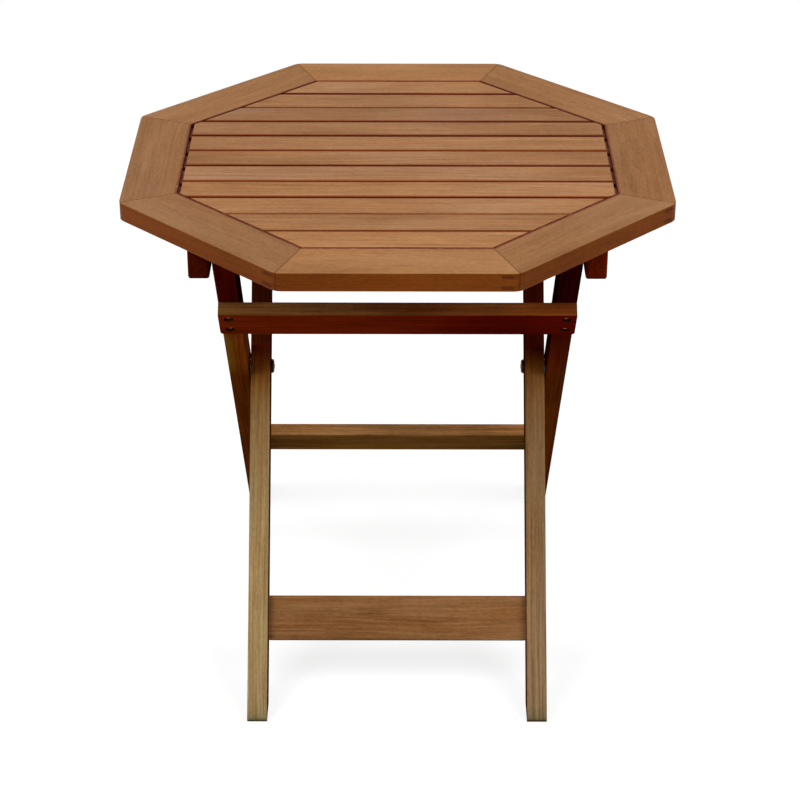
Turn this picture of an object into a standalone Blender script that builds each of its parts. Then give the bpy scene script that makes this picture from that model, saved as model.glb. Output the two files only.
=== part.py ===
"""Folding octagonal garden table in oiled hardwood: a slatted top on a crossed frame that folds."""

import math

import bpy
import bmesh
from mathutils import Matrix, Vector

# Sizes of the top, in metres
TABLE_HEIGHT = 0.700
TOP_WIDTH = 0.700
RIM_WIDTH = 0.0705
RIM_THICKNESS = 0.024
RIM_CORNER_RADIUS = 0.018
RIM_EDGE_ROUND = 0.0035
SIDES = 8

# Finger joints that lock the mitred rim boards
FINGER_THICKNESS = 0.005
FINGER_SPACING = 0.0144
FINGER_LENGTH = 0.020
FINGER_ROOT = 0.004

# Slats and the tongues that hold them in the rim
SLAT_COUNT = 11
SLAT_THICKNESS = 0.018
SLAT_GAP = 0.0045
SLAT_EDGE_ROUND = 0.0012
SLAT_FRONT_GAP = 0.0015
SLAT_SIDE_GAP = 0.004
SLAT_DIAGONAL_GAP = 0.0018
TONGUE_THICKNESS = 0.006
TONGUE_LENGTH = 0.008
TONGUE_SHOULDER = 0.003
GROOVE_SPARE_DEPTH = 0.001

# Battens and bar catches under the top
BATTEN_THICKNESS = 0.0265
BATTEN_HEIGHT = 0.040
BATTEN_INSET = 0.021
BATTEN_END_INSET = 0.0025
BATTEN_EDGE_ROUND = 0.003
CATCH_RIM_GAP = 0.008
CATCH_THICKNESS = 0.022
CATCH_BACK_WALL = 0.013
CATCH_HOOK_DEPTH = 0.012
CATCH_RAMP_RUN = 0.024
CATCH_RAMP_ANGLE = math.radians(20)
CATCH_NOSE = 0.012

# Crossed legs
LEG_THICKNESS = 0.0265
LEG_DEPTH = 0.0415
LEG_GAP = 0.002
BATTEN_GAP = 0.002
LEG_EDGE_ROUND = 0.0022
LEG_TOP_CLEARANCE = 0.0017
TOE_RADIUS = 0.006
HEEL_RADIUS = 0.003
TOP_PIVOT_INSET = 0.0853
BAR_INSET = 0.0584
CROSSING_DROP = 0.318
CROSSING_BACK = 0.018

# Rails and the support bar
RAIL_THICKNESS = 0.0185
RAIL_EDGE_ROUND = 0.0015
UPPER_RAIL_WIDTH = 0.057
UPPER_RAIL_DROP = 0.1266
UPPER_RAIL_CORNER = 0.005
BACK_RAIL_WIDTH = 0.057
BACK_RAIL_RISE = 0.1543
BACK_RAIL_CORNER = 0.002
FOOT_RAIL_WIDTH = 0.060
FOOT_RAIL_RISE = 0.130
TENON_WIDTH = 0.040
TENON_THICKNESS = 0.009
TENON_LENGTH = 0.012
BAR_RADIUS = 0.011
BAR_SOCKET_DEPTH = 0.013

# Bolts, cap nuts, washers and screws
BOLT_RADIUS = 0.003
BOLT_HEAD_RADIUS = 0.0075
BOLT_HEAD_HEIGHT = 0.0025
BOLT_RECESS_DEPTH = 0.0032
BOLT_TIP_SHOW = 0.0006
CAP_RADIUS = 0.0098
CAP_HEIGHT = 0.0045
CAP_ROUND = 0.003
CAP_RECESS_DEPTH = 0.0057
WASHER_RADIUS = 0.010
SCREW_RADIUS = 0.002
SCREW_HEAD_RADIUS = 0.0038
SCREW_HEAD_HEIGHT = 0.0026
SCREW_HEAD_ROUND = 0.0012
SCREW_BITE = 0.022
SLAT_SCREW_BITE = 0.012
RAIL_SCREW_SPACING = 0.030
RAIL_RECESS_RADIUS = 0.0064
RAIL_RECESS_DEPTH = 0.0055
BATTEN_RECESS_RADIUS = 0.006
BATTEN_RECESS_DEPTH = 0.012
BATTEN_SCREW_AHEAD = 0.011
CATCH_RECESS_DEPTH = 0.010

# Clearance between pieces that touch, and how round parts are divided
CLEARANCE = 0.0003
CUT_OVERRUN = 0.005
ARC_STEPS = 3
TURN_STEPS = 16
BAR_STEPS = 24

# Places worked out from the sizes above
HALF_TOP = TOP_WIDTH / 2
HALF_INNER = HALF_TOP - RIM_WIDTH
MITRE_ANGLE = math.pi / SIDES
SLAT_WIDTH = (2 * HALF_INNER - 2 * SLAT_FRONT_GAP - (SLAT_COUNT - 1) * SLAT_GAP) / SLAT_COUNT
SLAT_TONGUE_MIDDLE = -SLAT_THICKNESS / 2
DIAGONAL_REACH = math.sqrt(2)
BATTEN_OUTSIDE = HALF_INNER - BATTEN_INSET
BATTEN_INSIDE = BATTEN_OUTSIDE - BATTEN_THICKNESS
BATTEN_MIDDLE = (BATTEN_INSIDE + BATTEN_OUTSIDE) / 2
BATTEN_HALF_LENGTH = HALF_TOP * DIAGONAL_REACH - BATTEN_OUTSIDE - BATTEN_END_INSET
BATTEN_BOTTOM = -RIM_THICKNESS - BATTEN_HEIGHT
OUTER_LEG_OUTSIDE = BATTEN_INSIDE - BATTEN_GAP
OUTER_LEG_INSIDE = OUTER_LEG_OUTSIDE - LEG_THICKNESS
INNER_LEG_OUTSIDE = OUTER_LEG_INSIDE - LEG_GAP
INNER_LEG_INSIDE = INNER_LEG_OUTSIDE - LEG_THICKNESS
BAR_LEVEL = -RIM_THICKNESS - LEG_DEPTH / 2 - LEG_TOP_CLEARANCE
PIVOT_HEIGHT = TABLE_HEIGHT + BAR_LEVEL
PIVOT_FRONT = TOP_PIVOT_INSET - HALF_INNER
BAR_BACK = HALF_INNER - BAR_INSET
BAR_SEAT_RADIUS = BAR_RADIUS + CLEARANCE
CATCH_END = BAR_BACK + BAR_SEAT_RADIUS + CATCH_BACK_WALL
CATCH_OUTSIDE = HALF_INNER * DIAGONAL_REACH - CATCH_END - CATCH_RIM_GAP
CATCH_MIDDLE = CATCH_OUTSIDE - CATCH_THICKNESS / 2
CROSSING_HEIGHT = TABLE_HEIGHT - CROSSING_DROP
ARM_RISE = PIVOT_HEIGHT - CROSSING_HEIGHT
OUTER_LEAN = math.atan2(CROSSING_BACK - PIVOT_FRONT, ARM_RISE)
INNER_LEAN = math.atan2(BAR_BACK - CROSSING_BACK, ARM_RISE)
OUTER_ARM = ARM_RISE / math.cos(OUTER_LEAN)
INNER_ARM = ARM_RISE / math.cos(INNER_LEAN)
BACK_RAIL_MIDDLE = BACK_RAIL_RISE - PIVOT_HEIGHT / math.cos(OUTER_LEAN)
FOOT_RAIL_MIDDLE = FOOT_RAIL_RISE - CROSSING_HEIGHT / math.cos(INNER_LEAN)
BAR_HALF_LENGTH = INNER_LEG_INSIDE + BAR_SOCKET_DEPTH
RAIL_SEAT = LEG_DEPTH / 2 + CLEARANCE
LEG_MIDDLE = (OUTER_LEG_INSIDE + OUTER_LEG_OUTSIDE) / 2

# Turns that lay a shape drawn in its own flat plane into a plane of the table
LAY_SIDEWAYS = Matrix(((0, 0, 1, 0), (1, 0, 0, 0), (0, 1, 0, 0), (0, 0, 0, 1)))
LAY_UPRIGHT = Matrix(((1, 0, 0, 0), (0, 0, -1, 0), (0, 1, 0, 0), (0, 0, 0, 1)))
SIDE_NAMES = {-1: "left", 1: "right"}
QUARTER = math.pi / 2


def clear_scene():
    for obj in list(bpy.data.objects):
        bpy.data.objects.remove(obj)


def new_collection(name):
    made = bpy.data.collections.new(name)
    bpy.context.scene.collection.children.link(made)
    return made


def wood(name, colour, roughness):
    return finish(name, colour, roughness, 0.0)


def finish(name, colour, roughness, metallic):
    made = bpy.data.materials.new(name)
    made.use_nodes = True
    shader = made.node_tree.nodes["Principled BSDF"]
    shader.inputs["Base Color"].default_value = (*colour, 1.0)
    shader.inputs["Roughness"].default_value = roughness
    shader.inputs["Metallic"].default_value = metallic
    return made


def rounded(corners, steps=ARC_STEPS):
    """The closed outline through (x, y, radius) corners, each turned into an arc of that radius."""
    outline = []
    for index, (x, y, radius) in enumerate(corners):
        corner = Vector((x, y))
        if radius == 0:
            outline.append(corner)
            continue
        back = (Vector(corners[index - 1][:2]) - corner).normalized()
        ahead = (Vector(corners[(index + 1) % len(corners)][:2]) - corner).normalized()
        half_angle = back.angle(ahead) / 2
        centre = corner + (back + ahead).normalized() * radius / math.sin(half_angle)
        start = corner + back * radius / math.tan(half_angle) - centre
        end = corner + ahead * radius / math.tan(half_angle) - centre
        turn = math.atan2(start.x * end.y - start.y * end.x, start.dot(end))
        for step in range(steps + 1):
            outline.append(centre + Matrix.Rotation(turn * step / steps, 2) @ start)
    return outline


def clipped(polygon, normal, limit):
    """The part of a convex outline where the distance along the normal stays under the limit."""
    kept = []
    for index, point in enumerate(polygon):
        before = polygon[index - 1]
        over, over_before = point.dot(normal) - limit, before.dot(normal) - limit
        if over * over_before < 0:
            kept.append(before.lerp(point, over_before / (over_before - over)))
        if over <= 0:
            kept.append(point)
    return kept


def octagon(half_width):
    corner_reach = half_width / math.cos(MITRE_ANGLE)
    angles = [(2 * k + 1) * MITRE_ANGLE for k in range(SIDES)]
    return [Vector((math.cos(a), math.sin(a))) * corner_reach for a in angles]


def direction(angle):
    return Vector((math.cos(angle), math.sin(angle)))


class Model:
    """The collections that the pieces and the cutters go in, and the materials."""

    def __init__(self):
        self.parts = new_collection("folding_table")
        self.cutters = new_collection("cutters")
        self.top_wood = wood("top_wood", (0.42, 0.20, 0.085), 0.42)
        self.slat_wood = wood("slat_wood", (0.46, 0.23, 0.10), 0.42)
        self.leg_wood = wood("leg_wood", (0.27, 0.14, 0.060), 0.50)
        self.rail_wood = wood("rail_wood", (0.22, 0.075, 0.030), 0.45)
        self.brass = finish("brass", (0.55, 0.38, 0.16), 0.35, 1.0)
        self.dark_metal = finish("dark_metal", (0.035, 0.030, 0.028), 0.45, 0.6)
        self.steel = finish("steel", (0.45, 0.42, 0.38), 0.40, 1.0)

    def frame(self, name, parent, location, lean):
        """An empty on a joint's axis, which carries the pieces that turn about it."""
        empty = bpy.data.objects.new(name, None)
        empty.empty_display_size = 0.05
        empty.location = location
        empty.rotation_euler.x = lean
        empty.parent = parent
        self.parts.objects.link(empty)
        return empty

    def piece(self, name, mesh, material, parent, location=(0, 0, 0), rotation=(0, 0, 0)):
        obj = bpy.data.objects.new(name, mesh)
        obj.location = location
        obj.rotation_euler = rotation
        obj.parent = parent
        if not mesh.materials:
            mesh.materials.append(material)
        self.parts.objects.link(obj)
        return obj

    def cutter(self, name, mesh, parent, location=(0, 0, 0), rotation=(0, 0, 0)):
        obj = bpy.data.objects.new(name, mesh)
        obj.location = location
        obj.rotation_euler = rotation
        obj.parent = parent
        obj.hide_render = True
        obj.display_type = "WIRE"
        self.cutters.objects.link(obj)
        return obj


def add_boolean(obj, other, operation="DIFFERENCE"):
    modifier = obj.modifiers.new(f"{operation.lower()} {other.name}", "BOOLEAN")
    modifier.operation = operation
    modifier.object = other


def ease_edges(obj, width, segments=2, sharper_than=math.radians(30)):
    modifier = obj.modifiers.new("eased edges", "BEVEL")
    modifier.width = width
    modifier.segments = segments
    modifier.limit_method = "ANGLE"
    modifier.angle_limit = sharper_than


def frozen_mesh(obj, name):
    """The object's mesh with its modifiers applied, and its caps welded."""
    bpy.context.view_layer.update()
    graph = bpy.context.evaluated_depsgraph_get()
    mesh = bpy.data.meshes.new_from_object(obj.evaluated_get(graph))
    mesh.name = name
    shape = bmesh.new()
    shape.from_mesh(mesh)
    bmesh.ops.remove_doubles(shape, verts=shape.verts, dist=1e-7)
    shape.to_mesh(mesh)
    shape.free()
    return mesh


def flat_mesh(name, outline, low, high, lay=None):
    """A flat outline filled and given the thickness from low to high across its plane."""
    curve = bpy.data.curves.new(name, "CURVE")
    curve.dimensions = "2D"
    curve.fill_mode = "BOTH"
    curve.extrude = (high - low) / 2
    spline = curve.splines.new("POLY")
    spline.points.add(len(outline) - 1)
    for point, place in zip(spline.points, outline):
        point.co = (place.x, place.y, 0, 1)
    spline.use_cyclic_u = True
    holder = bpy.data.objects.new(name, curve)
    bpy.context.scene.collection.objects.link(holder)
    mesh = frozen_mesh(holder, name)
    bpy.data.objects.remove(holder)
    mesh.transform(Matrix.Translation((0, 0, (low + high) / 2)))
    if lay:
        mesh.transform(lay)
    return mesh


def turned_mesh(name, profile, closed, steps=TURN_STEPS):
    """A profile of (radius, height) points, spun about the upright axis."""
    mesh = bpy.data.meshes.new(name)
    count = len(profile)
    edges = [(i, i + 1) for i in range(count - 1)]
    if closed:
        edges.append((count - 1, 0))
    mesh.from_pydata([(radius, 0, height) for radius, height in profile], edges, [])
    holder = bpy.data.objects.new(name, mesh)
    bpy.context.scene.collection.objects.link(holder)
    spin = holder.modifiers.new("spin", "SCREW")
    spin.steps = steps
    spin.render_steps = steps
    spin.use_merge_vertices = True
    spin.merge_threshold = 1e-6
    made = frozen_mesh(holder, name)
    bpy.data.objects.remove(holder)
    made.shade_smooth()
    made.set_sharp_from_angle(angle=math.radians(40))
    return made


def box(x_low, x_high, y_low, y_high):
    return [Vector(p) for p in ((x_low, y_low), (x_high, y_low), (x_high, y_high), (x_low, y_high))]


# The rim: eight mitred boards, each with two fingers at one end and two slots at the other


def rim_band():
    """The outline of the front rim board as far as its mitres."""
    reach = HALF_TOP + CUT_OVERRUN
    slope = math.tan(MITRE_ANGLE)
    inner, outer = HALF_INNER * slope, reach * slope
    corners = ((-outer, -reach), (outer, -reach), (inner, -HALF_INNER), (-inner, -HALF_INNER))
    return [Vector(corner) for corner in corners]


def rim_blank():
    band = rim_band()
    for side in (-1, 1):
        across_mitre = direction(-QUARTER + side * (MITRE_ANGLE + QUARTER))
        band = clipped(band, across_mitre, -CLEARANCE / 2)
    return band


def finger_outline():
    """A finger follows the neighbouring board, from a root in its own board to the finger's tip."""
    beyond_mitre = direction(-QUARTER - MITRE_ANGLE - QUARTER)
    reach, slope = HALF_TOP + CUT_OVERRUN, math.tan(MITRE_ANGLE)
    length = reach * slope
    band = box(-length, length, -reach, -HALF_INNER)
    band = [Matrix.Rotation(-2 * MITRE_ANGLE, 2) @ corner for corner in band]
    band = clipped(band, beyond_mitre, FINGER_LENGTH - CLEARANCE)
    return clipped(band, -beyond_mitre, FINGER_ROOT)


def slot_outline():
    """A slot takes the other neighbour's finger, from past the mitre to the depth of the finger."""
    beyond_mitre = direction(-QUARTER + MITRE_ANGLE + QUARTER)
    reach = HALF_TOP + CUT_OVERRUN
    strip = box(0, reach, -reach - RIM_WIDTH, RIM_WIDTH - HALF_INNER)
    strip = clipped(strip, beyond_mitre, FINGER_ROOT)
    return clipped(strip, -beyond_mitre, FINGER_LENGTH)


def rim_disc_outline():
    corners = octagon(HALF_TOP)
    return rounded([(corner.x, corner.y, RIM_CORNER_RADIUS) for corner in corners])


def rim_board_mesh(model, top):
    blank_mesh = flat_mesh("rim blank", rim_blank(), -RIM_THICKNESS - CUT_OVERRUN, CUT_OVERRUN)
    blank = model.cutter("rim_blank", blank_mesh, top)
    for level in (-1, 1):
        middle = (level * FINGER_SPACING - RIM_THICKNESS) / 2
        low, high = middle - FINGER_THICKNESS / 2, middle + FINGER_THICKNESS / 2
        finger_mesh = flat_mesh("rim finger", finger_outline(), low, high)
        slot_mesh = flat_mesh("rim slot", slot_outline(), low - CLEARANCE, high + CLEARANCE)
        add_boolean(blank, model.cutter(f"rim_finger_{level}", finger_mesh, top), "UNION")
        add_boolean(blank, model.cutter(f"rim_slot_{level}", slot_mesh, top))
    groove_half = TONGUE_THICKNESS / 2 + CLEARANCE
    groove_outline = octagon(HALF_INNER + TONGUE_LENGTH + GROOVE_SPARE_DEPTH)
    groove_low, groove_high = SLAT_TONGUE_MIDDLE - groove_half, SLAT_TONGUE_MIDDLE + groove_half
    groove_mesh = flat_mesh("rim groove", groove_outline, groove_low, groove_high)
    add_boolean(blank, model.cutter("rim_groove", groove_mesh, top))
    disc = model.cutter("rim_disc", flat_mesh("rim disc", rim_disc_outline(), -RIM_THICKNESS, 0), top)
    ease_edges(disc, RIM_EDGE_ROUND, sharper_than=math.radians(60))
    add_boolean(blank, disc, "INTERSECT")
    return frozen_mesh(blank, "rim_board")


def add_rim(model, top):
    shared = rim_board_mesh(model, top)
    places = ("front", "front_right", "right", "back_right", "back", "back_left", "left", "front_left")
    boards = {}
    for index, place in enumerate(places):
        turn = (0, 0, index * 2 * MITRE_ANGLE)
        boards[place] = model.piece(f"rim_{place}", shared, model.top_wood, top, rotation=turn)
    return boards


# The slats: boards across the top, cut to the inner octagon, with tongues in the rim's groove


def inside_octagon(outline, side_limit, diagonal_limit):
    for quarter_turn in range(4):
        diagonal = direction(QUARTER / 2 + quarter_turn * QUARTER)
        outline = clipped(outline, diagonal, diagonal_limit)
    outline = clipped(outline, Vector((1, 0)), side_limit)
    return clipped(outline, Vector((-1, 0)), side_limit)


def slat_front_edge(index):
    return -HALF_INNER + SLAT_FRONT_GAP + index * (SLAT_WIDTH + SLAT_GAP)


def slat_middle(index):
    return slat_front_edge(index) + SLAT_WIDTH / 2


def slat_outline(index):
    front = slat_front_edge(index)
    board = box(-HALF_TOP, HALF_TOP, front, front + SLAT_WIDTH)
    return inside_octagon(board, HALF_INNER - SLAT_SIDE_GAP, HALF_INNER - SLAT_DIAGONAL_GAP)


def tongue_outline(index):
    front = slat_front_edge(index) + TONGUE_SHOULDER
    back = slat_front_edge(index) + SLAT_WIDTH - TONGUE_SHOULDER
    reach = HALF_INNER + TONGUE_LENGTH
    if index == 0:
        front = -reach
    if index == SLAT_COUNT - 1:
        back = reach
    return inside_octagon(box(-HALF_TOP, HALF_TOP, front, back), reach, reach)


def add_slats(model, top):
    slats = []
    for index in range(SLAT_COUNT):
        name = f"slat_{index + 1:02d}"
        mesh = flat_mesh(name, slat_outline(index), -SLAT_THICKNESS, 0)
        slat = model.piece(name, mesh, model.slat_wood, top)
        ease_edges(slat, SLAT_EDGE_ROUND)
        low = SLAT_TONGUE_MIDDLE - TONGUE_THICKNESS / 2
        tongue_mesh = flat_mesh(f"{name} tongue", tongue_outline(index), low, low + TONGUE_THICKNESS)
        add_boolean(slat, model.cutter(f"{name}_tongue", tongue_mesh, top), "UNION")
        slats.append(slat)
    return slats


# Battens and catches under the top


def batten_outline():
    """From the side: full height under the slats, lower at both ends to pass under the rim."""
    half = BATTEN_HALF_LENGTH
    slat_seat = -SLAT_THICKNESS - CLEARANCE
    rim_seat = -RIM_THICKNESS - CLEARANCE
    step = HALF_INNER * DIAGONAL_REACH - BATTEN_OUTSIDE - CLEARANCE
    return [
        Vector(corner)
        for corner in (
            (-half, BATTEN_BOTTOM),
            (half, BATTEN_BOTTOM),
            (half, rim_seat),
            (step, rim_seat),
            (step, slat_seat),
            (-step, slat_seat),
            (-step, rim_seat),
            (-half, rim_seat),
        )
    ]


def add_battens(model, top):
    battens = {}
    for side, word in SIDE_NAMES.items():
        half = BATTEN_THICKNESS / 2
        mesh = flat_mesh(f"batten_{word}", batten_outline(), -half, half, LAY_SIDEWAYS)
        place = (side * BATTEN_MIDDLE, 0, 0)
        batten = model.piece(f"batten_{word}", mesh, model.top_wood, top, place)
        ease_edges(batten, BATTEN_EDGE_ROUND)
        battens[side] = batten
    return battens


def catch_outline():
    """From the side: a hook behind the bar, a round seat over it and a ramp that leads it out."""
    top_level = -SLAT_THICKNESS - CLEARANCE
    hook_level = BAR_LEVEL - CATCH_HOOK_DEPTH
    outline = [
        Vector((CATCH_END, top_level)),
        Vector((CATCH_END, hook_level)),
        Vector((CATCH_END - CATCH_BACK_WALL, hook_level)),
    ]
    steps = 2 * ARC_STEPS
    for step in range(steps + 1):
        angle = (QUARTER + CATCH_RAMP_ANGLE) * step / steps
        outline.append(Vector((BAR_BACK, BAR_LEVEL)) + BAR_SEAT_RADIUS * direction(angle))
    ramp_end = outline[-1] - CATCH_RAMP_RUN * Vector((1, math.tan(CATCH_RAMP_ANGLE)))
    outline.append(ramp_end)
    outline.append(ramp_end - Vector((CATCH_NOSE, 0)))
    outline.append(Vector((ramp_end.x - CATCH_NOSE, top_level)))
    return outline


def add_catches(model, top):
    catches = {}
    for side, word in SIDE_NAMES.items():
        half = CATCH_THICKNESS / 2
        mesh = flat_mesh(f"bar_catch_{word}", catch_outline(), -half, half, LAY_SIDEWAYS)
        place = (side * CATCH_MIDDLE, 0, 0)
        catches[side] = model.piece(f"bar_catch_{word}", mesh, model.top_wood, top, place)
        ease_edges(catches[side], RAIL_EDGE_ROUND, segments=1)
    return catches


# Legs, drawn from the side in their frame: the leg runs along the frame's upright axis


def leg_outline(frame_height, lean, top_reach):
    """From a round top to a foot that is cut level with the floor."""
    half = LEG_DEPTH / 2
    top_radius = half - CLEARANCE
    top = top_reach + half
    front_foot = (half * math.sin(lean) - frame_height) / math.cos(lean)
    back_foot = (-half * math.sin(lean) - frame_height) / math.cos(lean)
    front_radius, back_radius = (TOE_RADIUS, HEEL_RADIUS) if lean < 0 else (HEEL_RADIUS, TOE_RADIUS)
    corners = (
        (half, top, top_radius),
        (-half, top, top_radius),
        (-half, front_foot, front_radius),
        (half, back_foot, back_radius),
    )
    return rounded(corners, 2 * ARC_STEPS)


def add_legs(model, frame, kind, middle, outline):
    legs = {}
    for side, word in SIDE_NAMES.items():
        half = LEG_THICKNESS / 2
        mesh = flat_mesh(f"{kind}_leg_{word}", outline, -half, half, LAY_SIDEWAYS)
        place = (side * middle, 0, 0)
        leg = model.piece(f"{kind}_leg_{word}", mesh, model.leg_wood, frame, place)
        ease_edges(leg, LEG_EDGE_ROUND)
        legs[side] = leg
    return legs


# Rails and the support bar


def rail_outline(half_length, middle, width, low_corner):
    high_corner = RAIL_EDGE_ROUND
    low, high = middle - width / 2, middle + width / 2
    corners = (
        (-half_length, low, low_corner),
        (half_length, low, low_corner),
        (half_length, high, high_corner),
        (-half_length, high, high_corner),
    )
    return rounded(corners)


def add_face_rail(model, frame, name, middle, width, low_corner, facing):
    """A rail screwed across the faces of both outer legs; facing is -1 in front and 1 behind."""
    seat = facing * RAIL_SEAT
    far = facing * (RAIL_SEAT + RAIL_THICKNESS)
    outline = rail_outline(OUTER_LEG_OUTSIDE, middle, width, low_corner)
    low, high = sorted((-seat, -far))
    mesh = flat_mesh(name, outline, low, high, LAY_UPRIGHT)
    rail = model.piece(name, mesh, model.rail_wood, frame)
    ease_edges(rail, RAIL_EDGE_ROUND)
    return rail


def tenon_mesh(grow, half_length):
    half_width = TENON_WIDTH / 2 + grow
    half_thickness = TENON_THICKNESS / 2 + grow
    low, high = FOOT_RAIL_MIDDLE - half_width, FOOT_RAIL_MIDDLE + half_width
    outline = box(-half_length, half_length, low, high)
    return flat_mesh("foot rail tenon", outline, -half_thickness, half_thickness, LAY_UPRIGHT)


def add_foot_rail(model, frame, legs):
    """The inner legs' low rail, with a tenon in a mortise at each end."""
    shoulder = INNER_LEG_INSIDE - CLEARANCE
    half = RAIL_THICKNESS / 2
    outline = rail_outline(shoulder, FOOT_RAIL_MIDDLE, FOOT_RAIL_WIDTH, RAIL_EDGE_ROUND)
    mesh = flat_mesh("foot_rail", outline, -half, half, LAY_UPRIGHT)
    rail = model.piece("foot_rail", mesh, model.rail_wood, frame)
    ease_edges(rail, RAIL_EDGE_ROUND, segments=1)
    tenon = tenon_mesh(0, INNER_LEG_INSIDE + TENON_LENGTH - CLEARANCE)
    mortise = tenon_mesh(CLEARANCE, INNER_LEG_INSIDE + TENON_LENGTH)
    add_boolean(rail, model.cutter("foot_rail_tenon", tenon, frame), "UNION")
    mortise_cutter = model.cutter("foot_rail_mortise", mortise, frame)
    for leg in legs.values():
        add_boolean(leg, mortise_cutter)


def rod_mesh(name, radius, half_length, steps):
    profile = ((0, half_length), (radius, half_length), (radius, -half_length), (0, -half_length))
    return turned_mesh(name, profile, False, steps)


def add_support_bar(model, frame, legs):
    """The round bar between the inner legs' tops, which sits in the catches."""
    place, along = (0, 0, INNER_ARM), (0, QUARTER, 0)
    bar = rod_mesh("support_bar", BAR_RADIUS, BAR_HALF_LENGTH - CLEARANCE, BAR_STEPS)
    socket = rod_mesh("bar socket", BAR_SEAT_RADIUS, BAR_HALF_LENGTH, BAR_STEPS)
    model.piece("support_bar", bar, model.leg_wood, frame, place, along)
    socket_cutter = model.cutter("bar_socket", socket, frame, place, along)
    for leg in legs.values():
        add_boolean(leg, socket_cutter)


# Fasteners, each drawn with its head above its seat at zero height and its shank below


def dome_profile(radius, height, edge, steps=ARC_STEPS):
    """The top of a round head, from its middle out and down to the seat."""
    arc = [
        (radius - edge + edge * math.sin(QUARTER * step / steps),
         height - edge + edge * math.cos(QUARTER * step / steps))
        for step in range(steps + 1)
    ]
    return [*arc, (radius, 0)]


def bolt_mesh(name, length):
    head = dome_profile(BOLT_HEAD_RADIUS, BOLT_HEAD_HEIGHT, BOLT_HEAD_HEIGHT / 2)
    shank = ((BOLT_RADIUS, 0), (BOLT_RADIUS, -length), (0, -length))
    return turned_mesh(name, [(0, BOLT_HEAD_HEIGHT), *head, *shank], False)


def bolt_hole_mesh(name, length):
    """The hole for a bolt's shank, with a round recess that its head sinks into."""
    recess, bore = BOLT_HEAD_RADIUS + CLEARANCE, BOLT_RADIUS + CLEARANCE
    profile = (
        (0, BOLT_RECESS_DEPTH + CUT_OVERRUN),
        (recess, BOLT_RECESS_DEPTH + CUT_OVERRUN),
        (recess, -CLEARANCE),
        (bore, -CLEARANCE),
        (bore, -length),
        (0, -length),
    )
    return turned_mesh(name, profile, False)


def cap_mesh(name):
    outside = dome_profile(CAP_RADIUS, CAP_HEIGHT, CAP_ROUND)
    bore = BOLT_RADIUS + CLEARANCE
    return turned_mesh(name, [(bore, CAP_HEIGHT), *outside, (bore, 0)], True)


def cap_hole_mesh(name):
    """A round recess, measured from its floor, that a cap sinks into."""
    radius, reach = CAP_RADIUS + CLEARANCE, CAP_RECESS_DEPTH + CUT_OVERRUN
    return turned_mesh(name, [(0, reach), (radius, reach), (radius, 0), (0, 0)], False)


def washer_mesh(name, thickness):
    bore = BOLT_RADIUS + CLEARANCE
    profile = ((bore, thickness), (WASHER_RADIUS, thickness), (WASHER_RADIUS, 0), (bore, 0))
    return turned_mesh(name, profile, True)


def screw_mesh(name, length):
    """A wood screw with a rounded head and a pointed end."""
    head = dome_profile(SCREW_HEAD_RADIUS, SCREW_HEAD_HEIGHT, SCREW_HEAD_ROUND, 2)
    point = length - 2 * SCREW_RADIUS
    shank = ((SCREW_RADIUS, 0), (SCREW_RADIUS, -point), (0, -length))
    return turned_mesh(name, [(0, SCREW_HEAD_HEIGHT), *head, *shank], False, 12)


def screw_hole_mesh(name, length, recess_radius, recess_depth):
    bore = SCREW_RADIUS + CLEARANCE
    profile = (
        (0, recess_depth + CUT_OVERRUN),
        (recess_radius, recess_depth + CUT_OVERRUN),
        (recess_radius, -CLEARANCE),
        (bore, -CLEARANCE),
        (bore, -length - CLEARANCE),
        (0, -length - CLEARANCE),
    )
    return turned_mesh(name, profile, False, TURN_STEPS)


def add_pivot(model, name, frame, place, head_at, tip_at, washer_at, washer_gap, side, drilled):
    """A bolt across the pieces in drilled, with its sunk head at head_at and its cap at tip_at."""
    outward = 1 if head_at > tip_at else -1
    toward_head = (0, side * outward * QUARTER, 0)
    toward_tip = (0, -side * outward * QUARTER, 0)
    seat = head_at - outward * BOLT_RECESS_DEPTH
    tip = tip_at - outward * (CLEARANCE + CAP_HEIGHT + BOLT_TIP_SHOW)
    length = abs(seat - tip)
    word = SIDE_NAMES[side]
    y, z = place
    bolt = bolt_mesh(f"{name}_bolt", length)
    model.piece(f"{name}_bolt_{word}", bolt, model.brass, frame, (side * seat, y, z), toward_head)
    cap_place = (side * (tip_at - outward * CLEARANCE), y, z)
    model.piece(f"{name}_cap_{word}", cap_mesh(f"{name}_cap"), model.dark_metal, frame, cap_place, toward_tip)
    washer = washer_mesh(f"{name}_washer", washer_gap - 2 * CLEARANCE)
    washer_place = (side * (washer_at + CLEARANCE), y, z)
    model.piece(f"{name}_washer_{word}", washer, model.steel, frame, washer_place, (0, side * QUARTER, 0))
    hole = bolt_hole_mesh(f"{name} hole", length + CUT_OVERRUN)
    cutter = model.cutter(f"{name}_hole_{word}", hole, frame, (side * seat, y, z), toward_head)
    for obj in drilled:
        add_boolean(obj, cutter)


def add_screw(model, name, parent, face, facing, length, recess, drilled):
    """A screw sunk in a round recess; face is where its axis meets the face, facing its way out."""
    recess_radius, recess_depth = recess
    seat = Vector(face) - Vector(facing) * recess_depth
    turn = Vector((0, 0, 1)).rotation_difference(Vector(facing)).to_euler()
    model.piece(name, screw_mesh(name, length), model.steel, parent, seat, turn)
    hole = screw_hole_mesh(f"{name} hole", length, recess_radius, recess_depth)
    cutter = model.cutter(f"{name}_hole", hole, parent, seat, turn)
    for obj in drilled:
        add_boolean(obj, cutter)


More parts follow.
